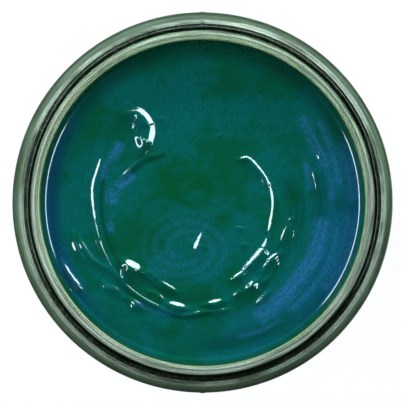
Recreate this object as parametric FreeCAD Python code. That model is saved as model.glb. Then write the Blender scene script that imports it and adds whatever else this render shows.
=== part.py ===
import FreeCAD, Part
import math
import os
from FreeCAD import Vector

# Straight-sided wide-mouth glass jar, filled almost to the brim with paint, with its ribbed screw lid
# taken off and lying beside it, inner side up. Millimetres, Z up, and the origin is the middle of the
# jar's foot ring, on the surface that the jar stands on. The lid lies towards +X.

# --- neck finish: the threaded ring that the lid screws on ---
thread_diameter = 88.7      # over the crests of the jar's thread
thread_depth = 1.25         # crest above the plain neck
thread_bead_radius = 1.6    # the thread is a round bead, partly sunk in the neck
thread_pitch = 5.08         # five threads to the inch
thread_turns = 1.25
thread_start = 3.8          # from the rim down to the middle of the first turn
finish_height = 13.8        # from the shoulder's ledge to the rim
neck_wall = 3.8             # from the mouth to the plain neck
land_width = 0.4            # flat ring on the rim, between the lip's two rounded edges
neck_root_radius = 0.8      # fillet between the neck and the shoulder's ledge

# --- body ---
jar_height = 96.0
body_overhang = 2.15        # the body stands out past the thread's crests
body_wall = 2.6
neck_bore_length = 12.0     # the straight bore under the rim
inner_shoulder_drop = 8.0   # height of the S-shaped widening under the bore
base_thickness = 5.0
heel_radius = 6.0
inner_heel_radius = 7.0
foot_width = 3.5            # flat ring that the jar stands on
push_up = 2.0               # rise of the base inside the foot ring

# --- paint ---
headspace = 5.0             # from the rim down to the paint
paint_clearance = 0.05      # between the paint and the glass

# --- lid ---
lid_wall = 1.6
lid_top = 1.6
lid_fit = 0.35              # radial, from the jar's thread crests to the lid's bore
lid_crest_clearance = 0.4   # radial, from the lid's thread crests to the plain neck
lid_bead_radius = 1.4       # the lid's thread is a round bead too
lid_thread_turns = 0.9
skirt_clearance = 0.8       # from the skirt's edge to the shoulder's ledge, lid screwed down
lid_edge_radius = 1.2
rib_count = 100             # grooves around the skirt
rib_depth = 0.35
rib_margin = 2.0            # plain band at each end of the grooves
recess_depth = 0.4          # shallow disc sunk in the lid's top
recess_margin = 5.0
liner_thickness = 1.0
liner_clearance = 0.2       # radial, from the liner to the lid's bore
lid_spacing = 18.0          # between the jar's body and the lid beside it

# --- derived ---
neck_radius = thread_diameter / 2 - thread_depth
mouth_radius = neck_radius - neck_wall
lip_radius = (neck_wall - land_width) / 2
body_radius = thread_diameter / 2 + body_overhang
shoulder_radius = body_radius - neck_radius - neck_root_radius
cavity_radius = body_radius - body_wall
ledge_height = jar_height - finish_height
paint_level = jar_height - headspace
lid_bore = thread_diameter / 2 + lid_fit
lid_radius = lid_bore + lid_wall
lid_height = lid_top + liner_thickness + finish_height - skirt_clearance
lid_x = body_radius + lid_spacing + lid_radius
axis = Vector(0, 0, 1)
touching = 1e-6             # ends of a half section this near are the same point


def at(radius, height):
    """Point of a half section in the XZ plane."""
    return Vector(radius, 0, height)


def line(a, b):
    return Part.LineSegment(a, b).toShape()


def corner(centre, radius, start, end):
    """Arc of a half section, from one angle to another in degrees, 0 pointing outwards and 90 up."""
    points = []
    for angle in (start, (start + end) / 2, end):
        turn = math.radians(angle)
        points.append(centre + Vector(radius * math.cos(turn), 0, radius * math.sin(turn)))
    return Part.Arc(*points).toShape()


def join(*edges):
    """The edges in order, with a straight run wherever one ends away from the next."""
    path = []
    for edge in edges:
        if path:
            gap_start = path[-1].lastVertex(True).Point
            gap_end = edge.firstVertex(True).Point
            if gap_start.distanceToPoint(gap_end) > touching:
                path.append(line(gap_start, gap_end))
        path.append(edge)
    return path


def revolve(*edges):
    """Solid of revolution about Z of a half section that starts and ends on the axis or closes itself."""
    path = join(*edges)
    first = path[0].firstVertex(True).Point
    last = path[-1].lastVertex(True).Point
    if first.distanceToPoint(last) > touching:
        path.append(line(last, first))
    face = Part.Face(Part.Wire(path))
    solid = face.revolve(Vector(0, 0, 0), axis, 360)
    if solid.Volume < 0:
        solid.reverse()
    return solid


def s_curve(top, bottom):
    """Two equal arcs from one upright wall to another, as a list of edges from bottom to top."""
    run = bottom.x - top.x
    drop = top.z - bottom.z
    radius = (run * run + drop * drop) / (4 * run)
    sweep = math.degrees(math.asin(drop / 2 / radius))
    lower = corner(bottom - Vector(radius, 0, 0), radius, 0, sweep)
    upper = corner(top + Vector(radius, 0, 0), radius, 180 + sweep, 180)
    return [lower, upper]


def bead(radius, bead_radius, pitch, turns):
    """Round thread bead on a helix about Z that starts on +X at height 0 and climbs, with round ends."""
    helix = Part.makeHelix(pitch, pitch * turns, radius)
    start = helix.Edges[0].firstVertex().Point
    lead = math.atan2(pitch, 2 * math.pi * radius)
    along = Vector(0, math.cos(lead), math.sin(lead))
    section = Part.Wire([Part.makeCircle(bead_radius, start, along)])
    solid = Part.Wire(helix.Edges).makePipeShell([section], True, True)
    end = turns * 2 * math.pi
    tips = [start, Vector(radius * math.cos(end), radius * math.sin(end), pitch * turns)]
    for tip in tips:
        solid = solid.fuse(Part.makeSphere(bead_radius, tip))
    return solid


def cavity(clearance):
    """Inside of the jar as the edges of a half section, from the floor's middle up to the bore's top."""
    floor = base_thickness + clearance
    wall = cavity_radius - clearance
    bore = mouth_radius - clearance
    bore_end = jar_height - neck_bore_length
    return join(
        line(at(0, floor), at(wall - inner_heel_radius, floor)),
        corner(at(wall - inner_heel_radius, floor + inner_heel_radius), inner_heel_radius, 270, 360),
        *s_curve(at(bore, bore_end), at(wall, bore_end - inner_shoulder_drop)),
    )


def make_jar():
    """Glass jar: foot ring with a pushed-up base, straight body, shoulder, threaded neck and round lip."""
    foot_outer = body_radius - heel_radius
    foot_inner = foot_outer - foot_width
    dome_radius = (foot_inner * foot_inner + push_up * push_up) / (2 * push_up)
    dome_spread = math.degrees(math.asin(foot_inner / dome_radius))
    dome = corner(at(0, push_up - dome_radius), dome_radius, 90, 90 - dome_spread)
    ledge_outer = body_radius - shoulder_radius
    outside = join(
        dome,
        line(at(foot_inner, 0), at(foot_outer, 0)),
        corner(at(foot_outer, heel_radius), heel_radius, 270, 360),
        corner(at(ledge_outer, ledge_height - shoulder_radius), shoulder_radius, 0, 90),
        corner(
            at(neck_radius + neck_root_radius, ledge_height + neck_root_radius),
            neck_root_radius,
            270,
            180,
        ),
        corner(at(neck_radius - lip_radius, jar_height - lip_radius), lip_radius, 0, 90),
        corner(at(mouth_radius + lip_radius, jar_height - lip_radius), lip_radius, 90, 180),
    )
    inside = [edge.reversed() for edge in reversed(cavity(0))]
    shell = revolve(*outside, *inside)
    thread = bead(
        thread_diameter / 2 - thread_bead_radius, thread_bead_radius, thread_pitch, thread_turns
    )
    thread.translate(Vector(0, 0, jar_height - thread_start - thread_pitch * thread_turns))
    return shell.fuse(thread)


def make_paint():
    """Paint that fills the jar up to its level, just clear of the glass."""
    top = mouth_radius - paint_clearance
    return revolve(*cavity(paint_clearance), line(at(top, paint_level), at(0, paint_level)))


def make_lid():
    """Lid lying inner side up: its top is the bottom disc, with a grooved skirt and a thread inside."""
    skirt = revolve(
        line(at(0, 0), at(lid_radius - lid_edge_radius, 0)),
        corner(at(lid_radius - lid_edge_radius, lid_edge_radius), lid_edge_radius, 270, 360),
        line(at(lid_radius, lid_height), at(lid_bore, lid_height)),
        line(at(lid_bore, lid_top), at(0, lid_top)),
    )
    recess = Part.makeCylinder(lid_radius - recess_margin, recess_depth)
    crest = neck_radius + lid_crest_clearance
    thread = bead(crest + lid_bead_radius, lid_bead_radius, thread_pitch, lid_thread_turns)
    first_turn = lid_top + liner_thickness + thread_start + thread_pitch / 2
    thread.translate(Vector(0, 0, first_turn))
    mid_wall = Part.makeCylinder(lid_bore + lid_wall / 2, lid_height)
    thread = thread.common(mid_wall)
    groove_length = lid_height - 2 * rib_margin
    grooves = []
    for i in range(rib_count):
        turn = 2 * math.pi * i / rib_count
        spot = Vector(lid_radius * math.cos(turn), lid_radius * math.sin(turn), rib_margin)
        grooves.append(Part.makeCylinder(rib_depth, groove_length, spot))
    lid = skirt.cut(recess).fuse(thread).cut(Part.makeCompound(grooves))
    lid.translate(Vector(lid_x, 0, 0))
    return lid


def make_liner():
    """Foam disc pressed into the lid against its top, held by the thread."""
    return Part.makeCylinder(lid_bore - liner_clearance, liner_thickness, Vector(lid_x, 0, lid_top))


def one_solid(shape):
    """The shape as a single clean solid."""
    shape = shape.removeSplitter()
    solid = shape.Solids[0]
    if len(shape.Solids) != 1 or not solid.isValid():
        raise ValueError("a piece is not one valid solid")
    return solid


parts = {
    "jar_glass": make_jar,
    "paint_fill": make_paint,
    "lid_cap": make_lid,
    "lid_liner": make_liner,
}

os.makedirs("parts", exist_ok=True)
for name, make in parts.items():
    solid = one_solid(make())
    solid.exportStep(f"parts/{name}.step")
    box = solid.BoundBox
    print(name, round(solid.Volume, 1), [round(v, 2) for v in (box.XLength, box.YLength, box.ZLength)])
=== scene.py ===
"""Looks of a glass jar filled with glossy paint, with its screw lid lying beside it."""
import math

import bpy
import bmesh
import numpy as np
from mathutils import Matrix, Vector


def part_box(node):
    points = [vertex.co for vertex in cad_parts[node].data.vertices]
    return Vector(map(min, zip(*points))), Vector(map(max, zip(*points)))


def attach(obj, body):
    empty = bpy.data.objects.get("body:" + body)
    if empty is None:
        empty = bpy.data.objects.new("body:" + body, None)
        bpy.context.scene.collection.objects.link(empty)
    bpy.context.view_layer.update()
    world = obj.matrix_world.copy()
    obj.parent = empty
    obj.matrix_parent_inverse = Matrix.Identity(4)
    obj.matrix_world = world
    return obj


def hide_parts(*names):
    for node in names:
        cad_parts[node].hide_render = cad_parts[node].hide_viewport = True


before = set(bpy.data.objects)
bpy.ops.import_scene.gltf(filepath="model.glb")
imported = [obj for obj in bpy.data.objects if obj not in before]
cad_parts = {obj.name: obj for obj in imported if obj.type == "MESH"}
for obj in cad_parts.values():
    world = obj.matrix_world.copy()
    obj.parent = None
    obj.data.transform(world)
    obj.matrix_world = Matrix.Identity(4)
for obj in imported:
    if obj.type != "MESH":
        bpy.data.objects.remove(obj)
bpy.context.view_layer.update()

bl_info = {
    "name": "Paint Jar",
    "version": (1, 0, 0),
    "blender": (4, 5, 0),
    "location": "View3D > Sidebar > Paint Jar",
    "description": "Makes a glass jar of glossy paint, its screw lid and a small studio",
    "category": "Add Mesh",
}

MM = 0.001
GLASS_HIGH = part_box("jar_glass")[1]
LID_LOW, LID_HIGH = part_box("lid_cap")
LINER_LOW, LINER_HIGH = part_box("lid_liner")
PAINT_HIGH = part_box("paint_fill")[1]


# --- settings ---
def length(name, text, metres):
    return bpy.props.FloatProperty(
        name=name, description=text, default=metres, subtype="DISTANCE", unit="LENGTH", precision=5
    )


def number(name, text, value):
    return bpy.props.FloatProperty(name=name, description=text, default=value, min=0)


def colour(name, text, rgb):
    return bpy.props.FloatVectorProperty(
        name=name, description=text, default=rgb, min=0, max=1, size=3, subtype="COLOR"
    )


class JarGlassSettings(bpy.types.PropertyGroup):
    """Sizes and tint of the glass."""

    height: length("Height", "From the foot ring to the rim", GLASS_HIGH.z)
    body_radius: length("Body radius", "Outside of the body", GLASS_HIGH.x)
    neck_radius: length("Neck radius", "Plain neck under the thread", 0.0431)
    mouth_radius: length("Mouth radius", "Bore of the mouth", 0.0393)
    cavity_radius: length("Cavity radius", "Inside of the body", 0.0439)
    finish_height: length("Neck height", "From the shoulder to the rim", 0.0138)
    bore_length: length("Bore length", "Straight bore under the rim", 0.012)
    inner_drop: length("Inner shoulder", "Height of the widening under the bore", 0.008)
    base: length("Base", "Thickness of the base", 0.005)
    heel: length("Heel radius", "Rounding at the bottom of the body", 0.006)
    inner_heel: length("Inner heel radius", "Rounding inside the base", 0.007)
    foot_width: length("Foot width", "Flat ring that the jar stands on", 0.0035)
    push_up: length("Push-up", "Rise of the base inside the foot ring", 0.002)
    lip_radius: length("Lip radius", "Rounding of both edges of the rim", 0.0017)
    neck_root: length("Neck root radius", "Fillet between neck and shoulder", 0.0008)
    thread_depth: length("Thread depth", "Crest of the thread above the neck", 0.00125)
    thread_width: length("Thread width", "Width of the thread at the neck", 0.0036)
    thread_pitch: length("Thread pitch", "Rise of the thread in one turn", 0.00508)
    thread_start: length("Thread start", "From the rim down to the first turn", 0.0038)
    thread_turns: number("Thread turns", "Turns of the thread round the neck", 1.25)
    seam_height: length("Seam height", "How far the two mould seams stand out", 0.00016)
    seam_width: length("Seam width", "Width of a mould seam", 0.0005)
    waviness: length("Waviness", "Height of the slow waves in the moulded glass", 0.00005)
    tint: colour("Tint", "Colour of the light that comes through", (0.93, 0.98, 0.80))
    body_tint: colour("Body tint", "Clearer glass of the body", (0.90, 0.98, 0.96))
    # painted shade: the shoulder's glass is made darker green, as it shows from above
    painted_shoulder_shade: colour("Shoulder tint", "Greener glass of the shoulder", (0.22, 0.34, 0.18))
    # darker drawn lines, and painted shade for the dark line on the lip
    lines_and_painted_shade: colour("Line tint", "Darker lines drawn round the glass", (0.10, 0.16, 0.07))
    # painted light: the yellow-green that the mouth's edge shows by refraction
    painted_rim_refraction: colour("Rim tint", "Yellower green at the mouth's edge", (0.62, 0.86, 0.30))
    # painted shade: dark green where the body is seen edge-on from above
    painted_outer_shade: colour("Outer tint", "Darker green where the body is seen edge-on", (0.05, 0.12, 0.04))
    # painted shade: near-black green on the lip's outer edge
    painted_edge_shade: colour("Edge tint", "Dark green outer edge of the lip", (0.0003, 0.0024, 0.0004))


class PaintSettings(bpy.types.PropertyGroup):
    """Level, relief and colours of the paint, with its painted sheen and painted shade."""

    level: length("Level", "Height of the paint's surface", PAINT_HIGH.z)
    gap: length("Gap", "Between the paint and the glass", 0.00005)
    meniscus_start: length("Meniscus start", "Where the paint starts to climb, from the glass", 0.00215)
    meniscus_full: length("Meniscus full", "Where it climbs at its steepest, from the glass", 0.00115)
    meniscus_slope: number("Meniscus slope", "Steepest rise of the paint at the glass", 0.64)
    relief: number("Relief", "Scale of the ridges, peaks and folds", 1.0)
    teal: colour("Teal", "Main colour", (0.0008, 0.062, 0.062))
    deep_green: colour("Deep green", "Darker patches", (0.0003, 0.042, 0.013))
    # painted sheen: blue reflection laid into the colour beside the glass
    margin: colour("Margin", "Blue margin beside the glass", (0.0032, 0.052, 0.130))
    # painted shade: darkest green beside the glass, towards the back and in folds
    shade: colour("Shade", "Darkest green, beside the glass and in folds", (0.0002, 0.016, 0.012))
    # painted sheen: blue reflection laid into the colour as streaks
    sheen: colour("Sheen", "Blue streaks of thinner paint", (0.012, 0.080, 0.190))


class LidSettings(bpy.types.PropertyGroup):
    """Sizes and colours of the screw lid and its liner."""

    wall: length("Wall", "Thickness of the skirt", 0.0016)
    top: length("Top", "Thickness of the lid's top", 0.0016)
    edge: length("Edge radius", "Rounding between the lid's top and its skirt", 0.0012)
    bevel: length("Bevel", "Small rounding of the skirt's open edge", 0.0004)
    recess: length("Recess", "Depth of the disc sunk in the lid's top", 0.0004)
    recess_margin: length("Recess margin", "Plain ring round the recess", 0.005)
    rib_depth: length("Rib depth", "How far the ribs stand out of the skirt", 0.00035)
    rib_margin: length("Rib margin", "Plain band at each end of the ribs", 0.002)
    rib_count: bpy.props.IntProperty(
        name="Ribs", description="Number of ribs round the skirt", default=100, min=3
    )
    thread_depth: length("Thread depth", "How far the thread stands into the bore", 0.0012)
    thread_width: length("Thread width", "Width of the thread at the bore", 0.0028)
    thread_pitch: length("Thread pitch", "Rise of the thread in one turn", 0.00508)
    thread_low: length("Thread start", "First turn above the lid's top", 0.00894)
    thread_turns: number("Thread turns", "Turns of the thread inside the skirt", 0.9)
    rim_mark: length("Rim mark", "Radius of the ring that the rim pressed in the liner", 0.0412)
    mark_depth: length("Mark depth", "Depth of that ring", 0.00022)
    plastic: colour("Plastic", "Colour of the lid", (0.018, 0.018, 0.020))
    foam: colour("Foam", "Colour of the liner", (0.62, 0.62, 0.58))


class StudioSettings(bpy.types.PropertyGroup):
    """Camera, lamps and floor."""

    camera_height: length("Camera height", "From the rim up to the lens", 0.9)
    half_view: length("Half view", "Half the width seen at the shoulder's height", 0.04910)
    aim_x: length("Aim X", "Sideways place of the camera", -0.00037)
    aim_y: length("Aim Y", "Place of the camera towards the seams", 0.00037)
    floor_size: length("Floor size", "Width of the floor", 6.0)
    lamp_radiance: number("Lamp brightness", "Brightness of the softboxes", 25.0)


SETTINGS = {
    "paint_jar_glass": JarGlassSettings,
    "paint_jar_paint": PaintSettings,
    "paint_jar_lid": LidSettings,
    "paint_jar_studio": StudioSettings,
}


# --- mesh helpers ---
THREAD_FADE = 0.04  # turns over which a thread runs out at each end
THREAD_FULLNESS = 0.8  # below 1 the thread's bead is fuller than a cosine
WAVES_EACH = 5  # crossing waves of each size in the noise
NOWHERE = 1e-9


def arc(centre_r, centre_z, radius, start, end, steps):
    """Points of an arc in a half section, angles in degrees, 0 outwards and 90 up."""
    turn = np.radians(np.linspace(start, end, steps + 1))
    return [(centre_r + radius * math.cos(t), centre_z + radius * math.sin(t)) for t in turn]


def run(start, end, steps):
    """Evenly spaced points of a straight run in a half section, without its last point."""
    (r, z), (end_r, end_z) = start, end
    shares = np.linspace(0, 1, steps, endpoint=False)
    return [(r + (end_r - r) * s, z + (end_z - z) * s) for s in shares]


def smooth(x, low, high):
    """0 below low, 1 above high and a smooth curve between them."""
    t = np.clip((x - low) / (high - low), 0, 1)
    return t * t * (3 - 2 * t)


def band(x, start, full, fading, end):
    """0 up to the start, 1 from full to fading and 0 past the end."""
    return smooth(x, start, full) * (1 - smooth(x, fading, end))


def fade(x, origin, limits):
    """0 to 1 between two limits that are measured from the origin."""
    return smooth(x, origin + limits[0], origin + limits[1])


def bell(x, width):
    """1 at 0, falling away smoothly on both sides."""
    return np.exp(-((x / width) ** 2))


def waves(x, y, seed, octaves=3):
    """Smooth seeded noise of about -1 to 1 made of crossing sine waves."""
    rng = np.random.default_rng(seed)
    total = np.zeros(np.broadcast(x, y).shape)
    weight = 0
    for octave in range(octaves):
        size = 2.0**octave
        for _ in range(WAVES_EACH):
            turn = rng.uniform(0, math.tau)
            phase = rng.uniform(0, math.tau)
            total += np.sin(size * (x * math.cos(turn) + y * math.sin(turn)) + phase) / size
            weight += 0.5 / size
    return total / weight


def shell(name, first, rings, last):
    """Closed mesh through rings of equal length, with a pole at each end, faces outwards."""
    count = rings.shape[1]
    points = np.concatenate([[first], rings.reshape(-1, 3), [last]])
    index = 1 + np.arange(rings.shape[0] * count).reshape(rings.shape[0], count)
    beside = np.roll(index, -1, axis=1)
    quads = np.stack([index[:-1], beside[:-1], beside[1:], index[1:]], axis=-1).reshape(-1, 4)
    start = np.stack([np.zeros(count, int), beside[0], index[0]], axis=-1)
    finish = np.stack([index[-1], beside[-1], np.full(count, len(points) - 1)], axis=-1)
    mesh = bpy.data.meshes.new(name)
    mesh.from_pydata(points, [], [*quads.tolist(), *start.tolist(), *finish.tolist()])
    whole = bmesh.new()
    whole.from_mesh(mesh)
    if whole.calc_volume(signed=True) < 0:
        bmesh.ops.reverse_faces(whole, faces=whole.faces)
    whole.to_mesh(mesh)
    whole.free()
    mesh.shade_smooth()
    return linked(name, mesh)


def linked(name, data):
    """Object with the data, in the scene."""
    made = bpy.data.objects.new(name, data)
    bpy.context.scene.collection.objects.link(made)
    return made


def round_angles(count):
    return np.linspace(0, math.tau, count, endpoint=False)


def spin(profile, angles, centre_x=0.0):
    """Rings of a profile turned about an upright axis: an array of profile points by angles by 3."""
    profile = np.array(profile)
    rings = np.empty((len(profile), len(angles), 3))
    rings[..., 0] = centre_x + profile[:, :1] * np.cos(angles)
    rings[..., 1] = profile[:, :1] * np.sin(angles)
    rings[..., 2] = profile[:, 1:]
    return rings


def push_out(rings, distance, centre_x=0.0):
    """Moves the points of the rings away from the upright axis."""
    away = rings[..., :2] - [centre_x, 0]
    away = away / np.maximum(np.linalg.norm(away, axis=-1, keepdims=True), NOWHERE)
    rings[..., :2] += away * distance[..., None]


def thread_height(angles, heights, low, s):
    """0 to 1 over a helical thread that climbs from angle 0 at the height low."""
    found = np.zeros(np.broadcast(angles, heights).shape)
    for lap in range(math.ceil(s.thread_turns) + 1):
        turn = (angles % math.tau) / math.tau + lap
        across = (heights - low - s.thread_pitch * turn) / s.thread_width
        bead = np.where(np.abs(across) < 0.5, np.cos(math.pi * across) ** 2, 0) ** THREAD_FULLNESS
        ends = band(turn, 0, THREAD_FADE, s.thread_turns - THREAD_FADE, s.thread_turns)
        found = np.maximum(found, bead * ends)
    return found


def store(mesh, **values):
    """Keeps one number for each point of the mesh under each name."""
    for name, numbers in values.items():
        mesh.attributes.new(name, "FLOAT", "POINT").data.foreach_set("value", numbers)


def fetch(items, key):
    """Places of a mesh's points or faces, as an array of items by 3."""
    found = np.empty(len(items) * 3)
    items.foreach_get(key, found)
    return found.reshape(-1, 3)


def put(piece, body, slot, material, *nodes):
    """Finishes a piece: its material, its body and the CAD nodes that it stands for; the slot is not used.
    """
    piece.data.materials.clear()
    piece.data.materials.append(material)
    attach(piece, body)
    if nodes:
        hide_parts(*nodes)


# --- material helpers ---
MIX_INPUTS = (6, 7)  # colour sockets of a Mix node
MIX_RESULT = 2


class Nodes:
    """Short way to add and join the nodes of one tree."""

    def __init__(self, tree):
        self.tree = tree

    def add(self, kind, inputs=None, **values):
        node = self.tree.nodes.new(kind)
        for key, value in values.items():
            setattr(node, key, value)
        for key, value in (inputs or {}).items():
            self.feed(node.inputs[key], value)
        return node

    def feed(self, socket, value):
        if isinstance(value, bpy.types.NodeSocket):
            self.tree.links.new(value, socket)
        elif isinstance(value, bpy.types.Node):
            self.tree.links.new(value.outputs[0], socket)
        else:
            socket.default_value = value

    def math(self, operation, *values, clamp=False):
        return self.add("ShaderNodeMath", dict(enumerate(values)), operation=operation,
                        use_clamp=clamp).outputs[0]

    def times(self, a, b):
        return self.math("MULTIPLY", a, b)

    def plus(self, a, b, clamp=False):
        return self.math("ADD", a, b, clamp=clamp)

    def mix(self, factor, *colours):
        node = self.add("ShaderNodeMix", {"Factor": factor}, data_type="RGBA")
        for place, value in zip(MIX_INPUTS, colours):
            is_socket = isinstance(value, bpy.types.NodeSocket)
            self.feed(node.inputs[place], value if is_socket else (*value, 1))
        return node.outputs[MIX_RESULT]

    def span(self, value, low, high, new_low=0.0, new_high=1.0):
        inputs = {"Value": value, "From Min": low, "From Max": high}
        inputs.update({"To Min": new_low, "To Max": new_high})
        return self.add("ShaderNodeMapRange", inputs, clamp=True).outputs[0]

    def leaning(self, vector, towards):
        """How far a place or a direction lies towards the given one."""
        dot = self.add("ShaderNodeVectorMath", {0: vector, 1: towards}, operation="DOT_PRODUCT")
        return dot.outputs["Value"]

    def end(self, kind, factor, first, second):
        """Ends a tree of its own with two shaders mixed by the factor."""
        both = self.add("ShaderNodeMixShader", {0: factor, 1: first, 2: second})
        self.add(kind, {"Surface": both})


class Finish(Nodes):
    """Material with one Principled BSDF, in Object coordinates."""

    def __init__(self, name, **plain):
        self.material = bpy.data.materials.new(name)
        self.material.use_nodes = True
        super().__init__(self.material.node_tree)
        self.shader = self.tree.nodes["Principled BSDF"].inputs
        for key, value in {"Metallic": 0.0, **plain}.items():
            self.shader[key.replace("_", " ")].default_value = value
        self.place = self.add("ShaderNodeTexCoord").outputs["Object"]

    def mask(self, group, numbers):
        inputs = {"Vector": self.place, **numbers}
        return self.add("ShaderNodeGroup", inputs, node_tree=bpy.data.node_groups[group]).outputs["Mask"]

    def noise(self, scale, detail):
        inputs = {"Vector": self.place, "Scale": scale, "Detail": detail}
        return self.add("ShaderNodeTexNoise", inputs).outputs["Fac"]

    def stored(self, name):
        return self.add("ShaderNodeAttribute", attribute_name=name).outputs["Fac"]

    def done(self, base, roughness, height=None, strength=0.0, distance=0.0):
        """Joins the colour, the roughness and any bump to the shader, and gives the material."""
        self.feed(self.shader["Base Color"], base)
        self.feed(self.shader["Roughness"], roughness)
        if height is not None:
            bump = {"Height": height, "Strength": strength, "Distance": distance}
            self.feed(self.shader["Normal"], self.add("ShaderNodeBump", bump).outputs["Normal"])
        return self.material


def new_group(name, **defaults):
    """Shader group with a Vector and the named numbers in and a Mask out: its Nodes and its inputs."""
    tree = bpy.data.node_groups.new(name, "ShaderNodeTree")
    tree.interface.new_socket("Vector", in_out="INPUT", socket_type="NodeSocketVector")
    for label, default in defaults.items():
        socket = tree.interface.new_socket(label, in_out="INPUT", socket_type="NodeSocketFloat")
        socket.default_value = default
    tree.interface.new_socket("Mask", in_out="OUTPUT", socket_type="NodeSocketFloat")
    nodes = Nodes(tree)
    return nodes, nodes.add("NodeGroupInput").outputs


def end_group(nodes, given, **noise):
    """Ends a group: its Mask climbs from 0 to 1 between the noise's Low and High."""
    found = nodes.add("ShaderNodeTexNoise", noise).outputs["Fac"]
    nodes.add("NodeGroupOutput", {"Mask": nodes.span(found, given["Low"], given["High"])})


BEND_UNIT = 0.01  # metres that a Stretch of 1 moves the patches by
MIDDLE_RADIUS = 1e-5  # keeps the flecks' division clear of the axis


def make_patches_group():
    """Group for soft cloudy patches: a mask from noise whose places are bent by more noise."""
    nodes, given = new_group("cloudy_patches", Scale=60.0, Stretch=0.0, Low=0.4, High=0.6)
    warp = nodes.add("ShaderNodeTexNoise", {"Vector": given["Vector"], "Scale": given["Scale"]})
    much = nodes.times(given["Stretch"], BEND_UNIT)
    bent = nodes.add("ShaderNodeVectorMath", {0: warp.outputs["Color"], "Scale": much}, operation="SCALE")
    moved = nodes.add("ShaderNodeVectorMath", {0: given["Vector"], 1: bent}, operation="ADD")
    end_group(nodes, given, Vector=moved, Scale=given["Scale"], Detail=4.0, Roughness=0.6)


def make_flecks_group():
    """Group for flecks drawn out round the axis."""
    nodes, given = new_group("radial_flecks", Around=60.0, Along=900.0, Low=0.5, High=0.6)
    part = nodes.add("ShaderNodeSeparateXYZ", {"Vector": given["Vector"]}).outputs
    squares = [nodes.times(part[axis], part[axis]) for axis in "XY"]
    radius = nodes.math("SQRT", nodes.plus(*squares))
    safe = nodes.math("MAXIMUM", radius, MIDDLE_RADIUS)
    spread = {
        axis: nodes.times(nodes.math("DIVIDE", part[axis], safe), given["Around"]) for axis in "XY"
    }
    spread["Z"] = nodes.times(nodes.plus(radius, part["Z"]), given["Along"])
    end_group(nodes, given, Vector=nodes.add("ShaderNodeCombineXYZ", spread), Scale=1.0, Detail=3.0)


# --- materials ---
# noise of each effect, per metre, and where its mask starts and is full
FLECKS = {"Around": 70.0, "Along": 2600.0, "Low": 0.52, "High": 0.66}
TICKS = {"Around": 150.0, "Along": 500.0, "Low": 0.66, "High": 0.7}
DRAWN_LINES = {"Around": 3.0, "Along": 2300.0, "Low": 0.48, "High": 0.60}
CLOUDS = {"Scale": 80.0, "Stretch": 1.2, "Low": 0.45, "High": 0.60}
SPECKLE = {"Scale": 2000.0, "Stretch": 0.2, "Low": 0.46, "High": 0.58}
SCUFFS = {"Scale": 160.0, "Stretch": 0.5, "Low": 0.5, "High": 0.75}
FOAM_WEAR = {"Scale": 110.0, "Stretch": 0.8, "Low": 0.5, "High": 0.8}
# bumps: strength and depth in metres
LINE_BUMP = (0.03, 0.0003)
GRAIN_BUMP = (0.25, 0.00008)
CELL_BUMP = (0.3, 0.0001)
# glass
GLASS_IOR, PAINT_IOR, PLASTIC_IOR, FOAM_IOR = 1.52, 1.5, 1.49, 1.45
NECK_CLEARNESS = 0.85  # the rest of the light is scattered
BODY_CLEARNESS = 0.985
NECK_SHINE = (0.12, 0.14, 0.12, 1)
SMUDGED = (0.45, 0.7)  # noise over which the glass goes from polished to smudged
SMUDGE_DETAIL = 5.0
BODY_SMUDGE, NECK_SMUDGE = (60.0, 0.06), (90.0, 0.05)  # scale of the noise, and roughness where smudged
POLISHED = 0.01
SHOULDER_HAZE, LIP_HAZE, THREAD_HAZE = 0.28, 0.16, 0.30
# flecks and ticks that lighten the painted shade of the lip's outer edge
FLECK_LIGHT, TICK_LIGHT = 0.035, 0.10
LINE_DEPTH = 0.75
FLECK_RELIEF = 0.5
# paint
CLOUD_DEPTH, MIDDLE_DEPTH, SPECKLE_DEPTH = 0.75, 0.22, 0.75
PAINT_ROUGHNESS = (0.05, 0.10)
# lid
SCUFF_DEPTH, SCUFF_LIFT, SCUFF_FLOOR = 0.35, 2.2, 0.01
PLASTIC_ROUGHNESS = (0.36, 0.5)
GRAIN, FOAM_CELLS = (2600.0, 2.0), 2200.0  # noise scale and detail, and scale of the cells
FOAM_DULLING = (0.72, 0.86, 0.82)
FOAM_WEAR_DEPTH = 0.6
FOAM_ROUGHNESS = (0.62, 0.25)  # bare, and where it is painted


def moulded_glass(name, clearness, tint, s, smudge_scale, smudged):
    """Glass that is hazier at the shoulder and has a painted shade of darker green there: its finish,
    colour and roughness so far.
    """
    finish = Finish(name, Transmission_Weight=clearness, IOR=GLASS_IOR)
    shoulder = finish.stored("shoulder")
    base = finish.mix(shoulder, tint, s.painted_shoulder_shade)
    polish = finish.span(finish.noise(smudge_scale, SMUDGE_DETAIL), *SMUDGED, POLISHED, smudged)
    return finish, base, finish.plus(polish, finish.times(shoulder, SHOULDER_HAZE))


def body_glass(s):
    """Clear glass of the body."""
    finish, base, roughness = moulded_glass("body_glass", BODY_CLEARNESS, s.body_tint, s, *BODY_SMUDGE)
    return finish.done(base, roughness)


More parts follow.
